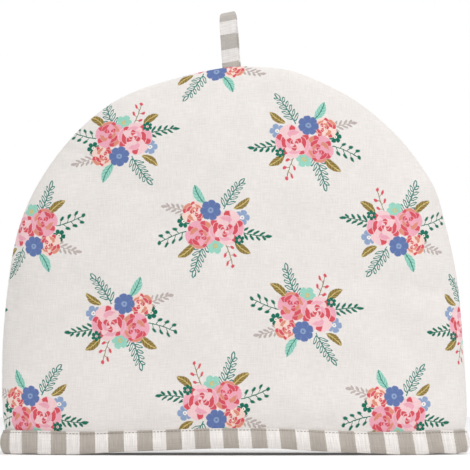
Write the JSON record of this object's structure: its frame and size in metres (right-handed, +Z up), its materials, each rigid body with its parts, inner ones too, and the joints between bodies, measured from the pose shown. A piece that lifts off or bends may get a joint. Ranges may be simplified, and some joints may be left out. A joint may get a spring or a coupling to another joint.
{
  "type": "tea cosy",
  "caption": "Padded cloth tea cosy: domed front and back panels sewn along a curved seam, striped binding round the hem, folded striped hanging loop on top.",
  "frame": {"origin": "on the floor, under the middle of the cosy", "axes": "+Z up, +X along the hem to the right as seen from the front, the front faces -Y"},
  "size_m": [0.33, 0.1062, 0.3123],
  "materials": {
    "printed_cotton": "matt plain-weave cotton, off-white with a printed posy repeat, over wadding",
    "striped_cotton": "matt plain-weave cotton, warm grey and off-white stripes across the strip",
    "sewing_thread": "spun cotton topstitching thread, pale grey"
  },
  "bodies": {
    "root": {"front_panel": "printed_cotton", "back_panel": "printed_cotton", "front_binding": "striped_cotton", "back_binding": "striped_cotton", "hanging_loop": "striped_cotton"}
  },
  "joints": []
}
